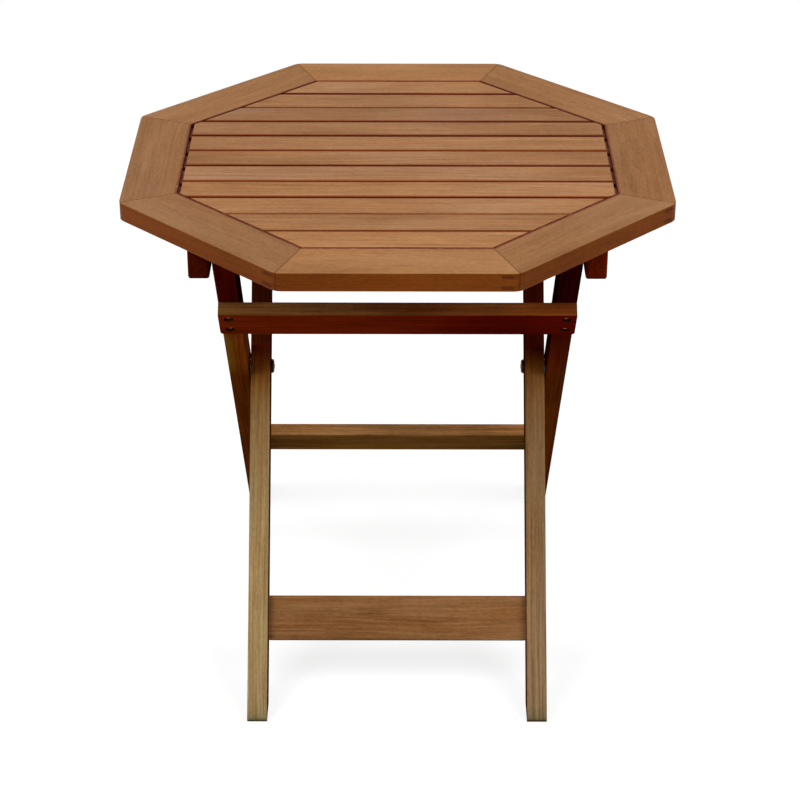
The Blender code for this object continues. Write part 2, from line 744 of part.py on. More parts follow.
def add_rail_screws(model, frame, name, rail, legs, middle, facing):
    """Two screws at each end of a face rail, into the middle of the leg behind it."""
    length = RAIL_THICKNESS - RAIL_RECESS_DEPTH + SCREW_BITE
    recess = (RAIL_RECESS_RADIUS, RAIL_RECESS_DEPTH)
    surface = facing * (RAIL_SEAT + RAIL_THICKNESS)
    for side, word in SIDE_NAMES.items():
        for level, height in ((-1, "lower"), (1, "upper")):
            face = (side * LEG_MIDDLE, surface, middle + level * RAIL_SCREW_SPACING / 2)
            screw = f"{name}_screw_{word}_{height}"
            add_screw(model, screw, frame, face, (0, facing, 0), length, recess, (rail, legs[side]))


def add_batten_screws(model, top, battens, boards, slats):
    """Each batten holds to the rim, a little beyond the top pivot and as far back, and to a slat."""
    below = (0, 0, -1)
    recess = (BATTEN_RECESS_RADIUS, BATTEN_RECESS_DEPTH)
    reach = BATTEN_SCREW_AHEAD - PIVOT_FRONT
    middle = SLAT_COUNT // 2
    for side, word in SIDE_NAMES.items():
        rim_length = BATTEN_HEIGHT - BATTEN_RECESS_DEPTH + SLAT_SCREW_BITE
        slat_length = rim_length + RIM_THICKNESS - SLAT_THICKNESS
        for way, end in ((-1, "front"), (1, "back")):
            board = boards[f"{end}_{word}"]
            face = (side * BATTEN_MIDDLE, way * reach, BATTEN_BOTTOM)
            name = f"batten_screw_{word}_{end}"
            board.data = board.data.copy()
            add_screw(model, name, top, face, below, rim_length, recess, (battens[side], board))
        face = (side * BATTEN_MIDDLE, slat_middle(middle), BATTEN_BOTTOM)
        name = f"batten_screw_{word}_middle"
        add_screw(model, name, top, face, below, slat_length, recess, (battens[side], slats[middle]))


def add_catch_screws(model, top, catches, slats):
    """Each catch has a screw through its ramp into the middle of the slat above."""
    ramp_top = BAR_LEVEL + BAR_SEAT_RADIUS * math.cos(CATCH_RAMP_ANGLE)
    nose_level = ramp_top - CATCH_RAMP_RUN * math.tan(CATCH_RAMP_ANGLE)
    ramp_middle = BAR_BACK - BAR_SEAT_RADIUS * math.sin(CATCH_RAMP_ANGLE) - CATCH_RAMP_RUN / 2
    recess = (SCREW_HEAD_RADIUS + CLEARANCE, CATCH_RECESS_DEPTH)
    length = -SLAT_THICKNESS - nose_level - CATCH_RECESS_DEPTH + SLAT_SCREW_BITE
    index = min(range(SLAT_COUNT), key=lambda each: abs(slat_middle(each) - ramp_middle))
    for side, word in SIDE_NAMES.items():
        face = (side * CATCH_MIDDLE, slat_middle(index), nose_level)
        drilled = (catches[side], slats[index])
        add_screw(model, f"catch_screw_{word}", top, face, (0, 0, -1), length, recess, drilled)


def add_cap_recess(model, name, frame, place, floor_at, side, drilled):
    """Sinks a pivot's cap in the outer face of the piece drilled, with its floor at floor_at."""
    floor = (side * floor_at, *place)
    hole = cap_hole_mesh(f"{name} recess")
    word = SIDE_NAMES[side]
    cutter = model.cutter(f"{name}_recess_{word}", hole, frame, floor, (0, side * QUARTER, 0))
    add_boolean(drilled, cutter)


def add_pivots(model, top, outer_frame, battens, outer_legs, inner_legs):
    top_place = (PIVOT_FRONT, BAR_LEVEL)
    recess_floor = BATTEN_OUTSIDE - CAP_RECESS_DEPTH
    for side in SIDE_NAMES:
        add_cap_recess(model, "top_pivot", top, top_place, recess_floor, side, battens[side])
        add_pivot(
            model, "top_pivot", top, top_place, OUTER_LEG_INSIDE, recess_floor,
            OUTER_LEG_OUTSIDE, BATTEN_GAP, side, (battens[side], outer_legs[side]),
        )
        add_pivot(
            model, "leg_pivot", outer_frame, (0, -OUTER_ARM), OUTER_LEG_OUTSIDE, INNER_LEG_INSIDE,
            INNER_LEG_OUTSIDE, LEG_GAP, side, (outer_legs[side], inner_legs[side]),
        )


def build():
    clear_scene()
    model = Model()
    top = model.frame("top_frame", None, (0, 0, TABLE_HEIGHT), 0)
    outer = model.frame("outer_leg_frame", None, (0, PIVOT_FRONT, PIVOT_HEIGHT), OUTER_LEAN)
    inner = model.frame("inner_leg_frame", outer, (0, 0, -OUTER_ARM), -OUTER_LEAN - INNER_LEAN)

    boards = add_rim(model, top)
    slats = add_slats(model, top)
    battens = add_battens(model, top)
    catches = add_catches(model, top)

    outer_outline = leg_outline(PIVOT_HEIGHT, OUTER_LEAN, 0)
    outer_legs = add_legs(model, outer, "outer", LEG_MIDDLE, outer_outline)
    inner_middle = (INNER_LEG_INSIDE + INNER_LEG_OUTSIDE) / 2
    inner_outline = leg_outline(CROSSING_HEIGHT, -INNER_LEAN, INNER_ARM)
    inner_legs = add_legs(model, inner, "inner", inner_middle, inner_outline)

    upper_middle = -UPPER_RAIL_DROP
    upper = add_face_rail(
        model, outer, "upper_rail", upper_middle, UPPER_RAIL_WIDTH, UPPER_RAIL_CORNER, -1
    )
    back = add_face_rail(
        model, outer, "back_rail", BACK_RAIL_MIDDLE, BACK_RAIL_WIDTH, BACK_RAIL_CORNER, 1
    )
    add_foot_rail(model, inner, inner_legs)
    add_support_bar(model, inner, inner_legs)

    add_pivots(model, top, outer, battens, outer_legs, inner_legs)
    add_rail_screws(model, outer, "upper_rail", upper, outer_legs, upper_middle, -1)
    add_rail_screws(model, outer, "back_rail", back, outer_legs, BACK_RAIL_MIDDLE, 1)
    add_batten_screws(model, top, battens, boards, slats)
    add_catch_screws(model, top, catches, slats)


build()
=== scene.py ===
"""Looks, floor, light and camera for the folding octagonal table."""
import math

import bpy
from mathutils import Matrix, Vector


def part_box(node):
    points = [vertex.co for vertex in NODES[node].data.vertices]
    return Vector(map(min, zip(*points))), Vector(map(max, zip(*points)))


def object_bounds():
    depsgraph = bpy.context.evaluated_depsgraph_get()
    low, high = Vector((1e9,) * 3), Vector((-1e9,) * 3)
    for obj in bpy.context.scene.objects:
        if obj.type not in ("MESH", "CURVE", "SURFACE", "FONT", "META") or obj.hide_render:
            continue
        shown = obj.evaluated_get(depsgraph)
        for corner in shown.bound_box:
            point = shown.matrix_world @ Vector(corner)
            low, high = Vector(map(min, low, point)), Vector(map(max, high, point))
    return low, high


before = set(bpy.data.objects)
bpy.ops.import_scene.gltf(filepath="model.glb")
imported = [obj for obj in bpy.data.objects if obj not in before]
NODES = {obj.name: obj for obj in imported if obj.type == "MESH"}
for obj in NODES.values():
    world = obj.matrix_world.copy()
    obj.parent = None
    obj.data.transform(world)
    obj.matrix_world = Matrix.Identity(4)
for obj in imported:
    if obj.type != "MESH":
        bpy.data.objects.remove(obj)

CAD_LOW, CAD_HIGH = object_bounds()

# Camera, fitted to the straight edges of the photographed top. The sensor's width is in
# millimetres, and every other length in this file is in metres.
IMAGE_SIZE = 800
SENSOR_WIDTH = 36.0
FOCAL_PIXELS = 2314.6
CAMERA_PLACE = Vector((0.0027, -2.8097, 1.8780))
CAMERA_YAW = math.radians(-0.014)
CAMERA_PITCH = math.radians(28.72)
CAMERA_ROLL = math.radians(-0.094)

# The octagon inside the rim boards, where the slats end, and the angle of half a side.
TOP_HALF = 0.350
RIM_WIDTH = 0.0705
INNER_HALF = TOP_HALF - RIM_WIDTH
HALF_SIDE_ANGLE = math.radians(22.5)

# Which way a board's grain runs and its wide face looks. The leans are those of the two leg
# frames from upright.
OUTER_LEAN = math.radians(38.006)
INNER_LEAN = math.radians(36.794)
ACROSS = (1.0, 0.0, 0.0)
AWAY = (0.0, 1.0, 0.0)
UP = (0.0, 0.0, 1.0)
OUTER_ALONG = (0.0, -math.sin(OUTER_LEAN), math.cos(OUTER_LEAN))
OUTER_FACING = (0.0, -math.cos(OUTER_LEAN), -math.sin(OUTER_LEAN))
INNER_ALONG = (0.0, math.sin(INNER_LEAN), math.cos(INNER_LEAN))
INNER_FACING = (0.0, -math.cos(INNER_LEAN), math.sin(INNER_LEAN))

# The axis along which a wood's colours run
FROM_LEFT = 0
UPWARD = 2

# Noises: scale per metre, detail and, where it isn't the usual one, roughness. In a board's own
# coordinates the first number of the scale runs along its grain.
WANDER_NOISE = ((2.6, 9.0, 9.0), 1.0)
STREAK_NOISE = ((7.0, 330.0, 330.0), 3.0)
PORE_NOISE = ((60.0, 1500.0, 1500.0), 1.0)
FLECK_NOISE = ((150.0, 460.0, 460.0), 2.0, 0.6)
MOTTLE_NOISE = ((9.0, 34.0, 34.0), 3.0, 0.6)
BLOTCH_NOISE = ((3.2, 10.0, 10.0), 1.0)
WARMTH_NOISE = ((2.4, 46.0, 46.0), 2.0)
SEAM_NOISE = ((90.0, 90.0, 90.0), 2.0)
PATCH_NOISE = ((90.0, 9.0, 9.0), 2.0)
TARNISH_NOISE = ((160.0, 160.0, 160.0), 3.0)
SCRATCH_NOISE = ((2600.0, 320.0, 320.0), 2.0)
RING_NOISE = {"Scale": 230.0, "Detail": 3.0, "Roughness": 0.6}
NOISE_MIDDLE = 0.5

# The value at which a noise starts to show, and the one at which it shows in full
PORE_RANGE = (0.58, 0.72)
DULL_RANGE = (0.48, 0.70)
WARM_RANGE = (0.48, 0.72)
SEAM_RANGE = (0.16, 0.48)
PATCH_RANGE = (0.10, 0.50)
WORN_RANGE = (0.38, 0.66)

# How much of each shows
PORE_SHARE = 0.30
WARM_SHARE = 0.5
EDGE_SHARE = 0.8
SEAM_SHARE = 0.85
MITRE_SHARE = 0.45
TARNISH_SHARE = 0.6
SCRATCH_SHARE = 0.4

# How squarely a surface has to look along a board's axis to count as its face, its end or the
# worn edge between its face and its side, which also carries a painted highlight. The last three
# go by the table's own directions: an outward side, the top's underside, and what isn't a rail's
# front.
FACE_RANGE = (0.45, 0.85)
END_RANGE = (0.55, 0.85)
OFF_END_RANGE = (0.5, 0.2)
EDGE_RISE = (0.15, 0.5)
EDGE_FALL = (0.97, 0.75)
OUTWARD_RANGE = (0.2, 0.7)
UNDERSIDE_RANGE = (-0.15, -0.7)
RAIL_BESIDE_RANGE = (0.85, 0.45)

# Relief of the grain and of the metals' scratches, and how far the roughness goes with them
GRAIN_STREAK_RELIEF = 0.9
GRAIN_RING_RELIEF = 0.6
GRAIN_BUMP = 0.22
GRAIN_DEPTH = 0.0006
ROUGHNESS_SWING = 0.08
METAL_BUMP = 0.15
METAL_DEPTH = 0.0002
WORN_ROUGHNESS = 0.15

# Distances from a seam, a mitre, a slat's edge or a screw's middle between which it shows.
# Mitres begin outside the inner octagon.
SEAM_REACH = (0.0040, 0.0010)
MITRE_REACH = (0.0013, 0.0003)
MITRE_START = (0.0, 0.001)
GAP_SHADE_REACH = (0.0038, 0.0010)
WALL_REACH = (0.0012, 0.0004)
SCREW_REACH = (0.0070, 0.0056)

# Places between which something changes: the seams become unbroken towards the back, the rails'
# ends darken with painted shade, the painted light of a leg's lit patch begins and ends with
# height and turns golden outwards, and the bright middle of a pivot cap fades.
SEAM_WHOLE = (0.06, 0.16)
RAIL_ENDS = (0.15, 0.24)
PATCH_BOTTOM = (0.375, 0.425)
PATCH_TOP = (0.52, 0.49)
PATCH_OUTWARD = (-0.213, -0.229)
CROWN_FADE = (0.0082, 0.0062)

# Tints, which multiply a colour
DULL_TINT = (0.86, 0.94, 1.35, 1.0)
WARM_TINT = (1.05, 0.90, 0.72, 1.0)
DARK_GRAIN_TINT = (0.66, 0.58, 0.50, 1.0)
LIGHT_GRAIN_TINT = (1.30, 1.36, 1.42, 1.0)
SEAM_TINT = (0.42, 0.10, 0.02, 1.0)
# Painted shade on the underside of the top
UNDERSIDE_SHADE_TINT = (0.60, 0.42, 0.30, 1.0)
# Painted shade at a slat's long edges, by the gaps
GAP_SHADE_TINT = (0.56, 0.27, 0.12, 1.0)
# Painted shade at a rail's ends and round its sunk screws
RAIL_END_SHADE_TINT = (0.30, 0.28, 0.27, 1.0)
SCREW_SHADE_TINT = (0.40, 0.26, 0.20, 1.0)
PORE_TONE = 0.5

# Above this much painted gap shade a slat's wall keeps its own colour. Below it the wall turns
# pale.
PALE_BELOW = 0.75

# Each board's grain starts at its own place: one step further along for each seed.
SEED_START = (0.0, 0.4, 0.9)
SEED_STEP = (0.731, 0.219, 0.173)
FIRST_SEED = {
    "rim": 1, "slat": 11, "inner_leg": 31, "outer_leg": 33, "batten": 35, "bar_catch": 37,
    "upper_rail": 41, "back_rail": 42, "foot_rail": 43, "support_bar": 44,
}

# Floor and surroundings. What the eye sees of them is brighter than what lights the table, and
# the floor fades to white between two distances from the middle.
FLOOR_SIZE = 30.0
FLOOR_GREY = (0.24, 0.24, 0.24, 1.0)
FLOOR_SEEN_GREY = (0.42, 0.42, 0.42, 1.0)
FLOOR_GLOW = 0.80
FADE_START = 0.8
FADE_END = 2.4
SOFT_LIGHT = 0.15
SEEN_LIGHT = 1.0
WHITE = (1.0, 1.0, 1.0, 1.0)

# Each lamp's name, place, size and power. All of them aim at one point under the top.
LAMP_AIM = Vector((0.0, 0.0, 0.5))
LAMPS = (
    ("left_lamp", Vector((-2.06, -1.87, 3.09)), 2.0, 65.0),
    ("right_lamp", Vector((2.06, -1.87, 3.09)), 2.0, 59.0),
    ("back_lamp", Vector((0.0, 1.2, 3.3)), 1.4, 20.0),
)


# Colours

def srgb(red, green, blue):
    """A colour written as 0-255 display values, as linear light."""
    def linear(value):
        value = value / 255.0
        if value <= 0.04045:
            return value / 12.92
        return ((value + 0.055) / 1.055) ** 2.4
    return (linear(red), linear(green), linear(blue), 1.0)


def scaled(color, factor):
    return (color[0] * factor, color[1] * factor, color[2] * factor, 1.0)


class Wood:
    """Colours and grain strengths of one kind of wood. Stops are places with their colours; on the
    legs and the upper rail they paint light and shade.
    """

    def __init__(
            self, face, side, end, edge, rings=0.6, streaks=1.0, flecks=0.7, mottle=0.8,
            blotch=0.9, wander=0.03, roughness=0.55, specular=0.0, side_tone=None,
            outer_side=None, face_stops=None, side_stops=None, stop_axis=UPWARD):
        self.face = face
        self.side = side
        self.end = end
        self.edge = edge
        self.rings = rings
        self.streaks = streaks
        self.flecks = flecks
        self.mottle = mottle
        self.blotch = blotch
        self.wander = wander
        self.roughness = roughness
        self.specular = specular
        self.side_tone = side_tone
        self.outer_side = outer_side
        self.face_stops = face_stops
        self.side_stops = side_stops
        self.stop_axis = stop_axis


TOP_WOOD = Wood(
    srgb(169, 117, 69), srgb(141, 72, 17), srgb(88, 30, 8), srgb(190, 124, 44),
    rings=0.4, streaks=0.6, flecks=0.8, blotch=0.7, specular=0.10, side_tone=0.96)
SLAT_WOOD = Wood(
    srgb(170, 119, 74), srgb(132, 42, 8), srgb(60, 18, 6), srgb(160, 86, 34),
    blotch=1.0, specular=0.10)
# The legs' colours change with height as painted light and shade: darker and redder up under the
# top, where its shade falls. The inner legs also get a brighter orange band of painted light just
# under the upper rail, and painted shade at the very foot.
INNER_LEG_LEFT_WOOD = Wood(
    srgb(188, 158, 109), srgb(104, 60, 22), srgb(104, 90, 56), srgb(150, 92, 36),
    face_stops=(
        (0.003, srgb(142, 132, 92)), (0.022, srgb(184, 156, 110)), (0.120, srgb(188, 158, 109)),
        (0.260, srgb(176, 146, 100)), (0.335, srgb(174, 138, 88)), (0.360, srgb(166, 122, 68)),
        (0.378, srgb(172, 113, 50)), (0.389, srgb(192, 113, 43)), (0.401, srgb(190, 95, 36)),
        (0.412, srgb(152, 54, 9)), (0.421, srgb(102, 36, 7)), (0.460, srgb(82, 27, 5))),
    side_stops=((0.34, srgb(104, 60, 22)), (0.42, srgb(70, 24, 7))),
    outer_side=srgb(150, 104, 58),
    rings=0.4, streaks=2.0, mottle=0.7, blotch=0.7, wander=0.012, roughness=0.7)
INNER_LEG_RIGHT_WOOD = Wood(
    srgb(156, 121, 82), srgb(104, 60, 22), srgb(92, 78, 48), srgb(140, 84, 34),
    face_stops=(
        (0.003, srgb(122, 112, 80)), (0.022, srgb(158, 128, 92)), (0.120, srgb(159, 125, 88)),
        (0.310, srgb(156, 118, 75)), (0.345, srgb(153, 109, 64)), (0.366, srgb(155, 105, 57)),
        (0.378, srgb(166, 110, 56)), (0.389, srgb(192, 115, 46)), (0.401, srgb(172, 84, 30)),
        (0.412, srgb(120, 31, 9)), (0.421, srgb(92, 24, 7)), (0.460, srgb(90, 27, 7))),
    side_stops=((0.34, srgb(104, 60, 22)), (0.42, srgb(70, 24, 7))),
    outer_side=srgb(144, 98, 54),
    rings=0.4, streaks=2.0, mottle=0.7, blotch=0.7, wander=0.012, roughness=0.7)
# The outer legs are a redder, darker copy of the leg wood, which paints the shade on their
# down-facing fronts. Their colours turn darker red with height as painted shade under the top.
OUTER_LEG_LEFT_WOOD = Wood(
    srgb(154, 76, 18), srgb(96, 36, 8), srgb(90, 46, 18), srgb(134, 76, 22),
    face_stops=((0.46, srgb(154, 76, 18)), (0.56, srgb(116, 22, 7))),
    side_stops=((0.44, srgb(96, 36, 8)), (0.54, srgb(60, 14, 5))),
    outer_side=srgb(146, 84, 36),
    rings=0.8, streaks=2.0, flecks=0.6, mottle=1.2, blotch=1.6, wander=0.015, roughness=0.7)
OUTER_LEG_RIGHT_WOOD = Wood(
    srgb(150, 72, 15), srgb(88, 32, 8), srgb(90, 46, 18), srgb(130, 66, 18),
    face_stops=((0.36, srgb(150, 72, 15)), (0.43, srgb(134, 44, 11)), (0.54, srgb(76, 10, 6))),
    side_stops=((0.40, srgb(88, 32, 8)), (0.52, srgb(52, 12, 5))),
    outer_side=srgb(142, 80, 34),
    rings=0.8, streaks=2.0, flecks=0.6, mottle=1.2, blotch=1.6, wander=0.015, roughness=0.7)
# The upper rail's front is a dark red copy of the wood that paints the shade on it, and its top a
# lighter one that paints the light on it. Both change colour from left to right.
UPPER_RAIL_WOOD = Wood(
    srgb(172, 54, 13), srgb(207, 134, 71), srgb(130, 82, 40), srgb(162, 76, 18),
    face_stops=(
        (-0.100, srgb(180, 61, 15)), (0.026, srgb(175, 51, 14)), (0.072, srgb(154, 35, 7)),
        (0.119, srgb(135, 24, 6)), (0.160, srgb(135, 24, 6)), (0.206, srgb(152, 30, 8))),
    side_stops=(
        (-0.100, srgb(199, 134, 73)), (-0.030, srgb(224, 149, 78)), (0.045, srgb(207, 124, 63)),
        (0.130, srgb(191, 112, 54)), (0.183, srgb(203, 108, 44))),
    stop_axis=FROM_LEFT,
    rings=0.8, streaks=1.8, mottle=1.2, blotch=1.2, wander=0.015, roughness=0.7)
BACK_RAIL_WOOD = Wood(
    srgb(206, 143, 67), srgb(200, 141, 84), srgb(96, 60, 32), srgb(180, 116, 50),
    rings=0.8, streaks=2.0, mottle=1.4, blotch=1.2, wander=0.015, roughness=0.7)
FOOT_RAIL_WOOD = Wood(
    srgb(159, 112, 70), srgb(96, 52, 22), srgb(84, 46, 20), srgb(132, 80, 36),
    streaks=1.4, mottle=1.0, blotch=1.0, roughness=0.7)
# The battens, catches and support bar under the top are a dark red copy of the wood, which paints
# the shade they sit in.
SHADED_UNDER_WOOD = Wood(
    srgb(110, 38, 8), srgb(108, 30, 6), srgb(108, 30, 7), srgb(108, 40, 12),
    streaks=1.6, mottle=1.2, roughness=0.7, outer_side=srgb(138, 74, 32))

# Colours of the painted light on the left outer leg's lit patch
PATCH_GOLDEN = srgb(194, 134, 46)
PATCH_WARM = srgb(190, 96, 28)
# The pale colour of a slat's wall where little painted gap shade falls
PALE_WALL = srgb(172, 112, 66)

# Each metal's colour, its colour where it is dull, and its roughness
BRASS = (srgb(214, 144, 92), srgb(132, 74, 40), 0.40)
STEEL = (srgb(170, 168, 164), srgb(120, 116, 112), 0.36)
BRONZE = (srgb(58, 44, 32), srgb(26, 18, 12), 0.38)
CROWN_COLOR = srgb(176, 140, 64)

# Each rim board with the turn of its grain in degrees, its tone, and how dull its patches are.
RIM_BOARDS = (
    ("rim_front", 0, 0.97, 0.1), ("rim_front_right", 45, 0.80, 0.3),
    ("rim_right", 90, 0.79, 1.0), ("rim_back_right", 135, 0.90, 0.3),
    ("rim_back", 180, 1.05, 0.3), ("rim_back_left", 225, 0.88, 0.3),
    ("rim_left", 270, 0.77, 0.8), ("rim_front_left", 315, 0.73, 0.3),
)

# Tone and dullness of each slat from the front, and how much painted shade darkens the wood at
# each gap, from the front rim board to the back one.
SLAT_TONES = (1.11, 0.94, 0.99, 1.06, 0.97, 0.92, 0.98, 0.90, 0.83, 0.91, 1.01)
SLAT_BLOOM = (0.1, 0.2, 0.3, 0.3, 0.5, 0.4, 0.3, 0.8, 0.9, 0.5, 0.4)
GAP_SHADES = (1.0, 0.32, 0.10, 0.82, 0.52, 0.75, 0.52, 0.98, 0.76, 0.14, 0.96, 0.75)


# Camera

def add_camera():
    forward = Vector((
        -math.sin(CAMERA_YAW) * math.cos(CAMERA_PITCH),
        math.cos(CAMERA_YAW) * math.cos(CAMERA_PITCH),
        -math.sin(CAMERA_PITCH),
    ))
    right = Vector((math.cos(CAMERA_YAW), math.sin(CAMERA_YAW), 0.0))
    down = forward.cross(right)
    across = right * math.cos(CAMERA_ROLL) + down * math.sin(CAMERA_ROLL)
    up = right * math.sin(CAMERA_ROLL) - down * math.cos(CAMERA_ROLL)
    data = bpy.data.cameras.new("camera")
    data.sensor_width = SENSOR_WIDTH
    data.lens = FOCAL_PIXELS / IMAGE_SIZE * SENSOR_WIDTH
    camera = bpy.data.objects.new("camera", data)
    bpy.context.scene.collection.objects.link(camera)
    turn = Matrix((across, up, -forward)).transposed()
    camera.matrix_world = Matrix.Translation(CAMERA_PLACE) @ turn.to_4x4()
    bpy.context.scene.camera = camera


# Node trees

class Graph:
    """A node tree and short ways to add to it."""

    def __init__(self, tree):
        self.tree = tree

    def node(self, kind, settings=None, **inputs):
        made = self.tree.nodes.new("ShaderNode" + kind)
        for key, value in (settings or {}).items():
            setattr(made, key, value)
        for key, value in inputs.items():
            self.feed(made.inputs[key], value)
        return made

    def feed(self, socket, value):
        if isinstance(value, bpy.types.NodeSocket):
            self.tree.links.new(value, socket)
        else:
            socket.default_value = value

    def math(self, operation, first, second=0.0, clamp=False):
        made = self.tree.nodes.new("ShaderNodeMath")
        made.operation = operation
        made.use_clamp = clamp
        self.feed(made.inputs[0], first)
        self.feed(made.inputs[1], second)
        return made.outputs[0]

    def product(self, first, *others):
        for other in others:
            first = self.math("MULTIPLY", first, other)
        return first

    def vector(self, operation, first, second=(0.0, 0.0, 0.0)):
        made = self.tree.nodes.new("ShaderNodeVectorMath")
        made.operation = operation
        self.feed(made.inputs[0], first)
        self.feed(made.inputs[1], second)
        return made.outputs[0]

    def length(self, vector):
        made = self.node("VectorMath", {"operation": "LENGTH"})
        self.feed(made.inputs[0], vector)
        return made.outputs["Value"]

    def noise(self, vector, scale, detail, roughness=0.5):
        spread = self.vector("MULTIPLY", vector, scale)
        made = self.node("TexNoise", Vector=spread, Detail=detail, Roughness=roughness)
        made.inputs["Scale"].default_value = 1.0
        return made

    def step(self, value, low, high):
        """0 before low, 1 past high, smooth between. High may be the smaller of the two."""
        made = self.tree.nodes.new("ShaderNodeMapRange")
        made.interpolation_type = "SMOOTHSTEP"
        self.feed(made.inputs["Value"], value)
        made.inputs["From Min"].default_value = low
        made.inputs["From Max"].default_value = high
        return made.outputs["Result"]

    def mix(self, factor, first, second, blend="MIX"):
        made = self.tree.nodes.new("ShaderNodeMix")
        made.data_type = "RGBA"
        made.blend_type = blend
        made.clamp_factor = True
        self.feed(made.inputs[0], factor)
        self.feed(made.inputs[6], first)
        self.feed(made.inputs[7], second)
        return made.outputs[2]

    def tinted(self, color, tint, share=None):
        """The colour multiplied by a tint, all of it or only the share given."""
        whole = self.mix(1.0, color, tint, "MULTIPLY")
        return whole if share is None else self.mix(share, color, whole)

    def mixed_number(self, factor, first, second):
        made = self.tree.nodes.new("ShaderNodeMapRange")
        self.feed(made.inputs["Value"], factor)
        self.feed(made.inputs["To Min"], first)
        self.feed(made.inputs["To Max"], second)
        return made.outputs["Result"]

    def ramp(self, value, stops, tone):
        """A colour that runs through the stops, each a value and its colour."""
        low, high = stops[0][0], stops[-1][0]
        place = self.tree.nodes.new("ShaderNodeMapRange")
        self.feed(place.inputs["Value"], value)
        place.inputs["From Min"].default_value = low
        place.inputs["From Max"].default_value = high
        made = self.tree.nodes.new("ShaderNodeValToRGB")
        self.feed(made.inputs[0], place.outputs["Result"])
        elements = made.color_ramp.elements
        while len(elements) < len(stops):
            elements.new(0.5)
        for index, (at, _) in enumerate(stops):
            elements[index].position = (at - low) / (high - low)
        for index, (_, color) in enumerate(stops):
            elements[index].color = scaled(color, tone)
        return made.outputs[0]

    def xyz(self, vector):
        made = self.node("SeparateXYZ", Vector=vector)
        return made.outputs[0], made.outputs[1], made.outputs[2]


def new_material(name):
    """A material, its graph, and the shader that its graph feeds."""
    material = bpy.data.materials.new(name)
    material.use_nodes = True
    tree = material.node_tree
    return material, Graph(tree), tree.nodes["Principled BSDF"]


# Wood

def grain_place(graph, along, thick, seed, source):
    """Board coordinates, x along the grain, and how squarely each of their axes faces out."""
    along = Vector(along).normalized()
    thick = Vector(thick).normalized()
    turn = Matrix((along, thick.cross(along), thick)).to_euler()
    offset = tuple(start + step * seed for start, step in zip(SEED_START, SEED_STEP))
    place = graph.node(
        "Mapping", Vector=source.outputs["Object"], Rotation=turn, Location=offset)
    normal = graph.node(
        "Mapping", {"vector_type": "VECTOR"}, Vector=source.outputs["Normal"], Rotation=turn)
    return place.outputs[0], graph.xyz(graph.vector("ABSOLUTE", normal.outputs[0]))


def bent_grain(graph, place, amount):
    """Board coordinates whose grain wanders slowly from side to side."""
    wander = graph.noise(place, *WANDER_NOISE).outputs["Color"]
    wander = graph.vector("SUBTRACT", wander, (NOISE_MIDDLE,) * 3)
    return graph.vector("ADD", place, graph.vector("MULTIPLY", wander, (0.0, amount, amount)))


def ring_lines(graph, bent):
    """Growth rings, seen as lines along the board."""
    out = graph.length(graph.vector("MULTIPLY", bent, (0.0, 1.0, 1.0)))
    return graph.node("TexNoise", {"noise_dimensions": "1D"}, W=out, **RING_NOISE).outputs[0]


def facing_out(graph, source):
    """1 on surfaces that face away from the table's middle, to the left or right."""
    x = graph.xyz(source.outputs["Object"])[0]
    across = graph.xyz(source.outputs["Normal"])[0]
    return graph.step(graph.product(graph.math("SIGN", x), across), *OUTWARD_RANGE)


def centred(graph, value, amount):
    """A noise as an amount above or below zero."""
    return graph.product(graph.math("SUBTRACT", value, NOISE_MIDDLE), amount)


def plain_wood(graph, source, wood, facing, on_face, tone):
    """The wood's colour on its face, sides, ends and worn edges, before its grain. Ramps of colour
    along a leg or the upper rail paint light and shade, and the worn edges carry a painted
    highlight as well as wear.
    """
    face = scaled(wood.face, tone)
    side = scaled(wood.side, wood.side_tone or tone)
    end = scaled(wood.end, wood.side_tone or tone)
    if wood.face_stops:
        reach = graph.xyz(source.outputs["Object"])[wood.stop_axis]
        face = graph.ramp(reach, wood.face_stops, tone)
        side = graph.ramp(reach, wood.side_stops, tone)
    if wood.outer_side:
        side = graph.mix(facing_out(graph, source), side, wood.outer_side)
    color = graph.mix(on_face, side, face)
    color = graph.mix(graph.step(facing[0], *END_RANGE), color, end)
    # Worn edges between face and side: wear, with a painted highlight in the edge colour
    wear_and_highlight = graph.product(
        graph.step(facing[2], *EDGE_RISE), graph.step(facing[2], *EDGE_FALL),
        graph.step(facing[0], *OFF_END_RANGE), EDGE_SHARE)
    return graph.mix(wear_and_highlight, color, scaled(wood.edge, tone))


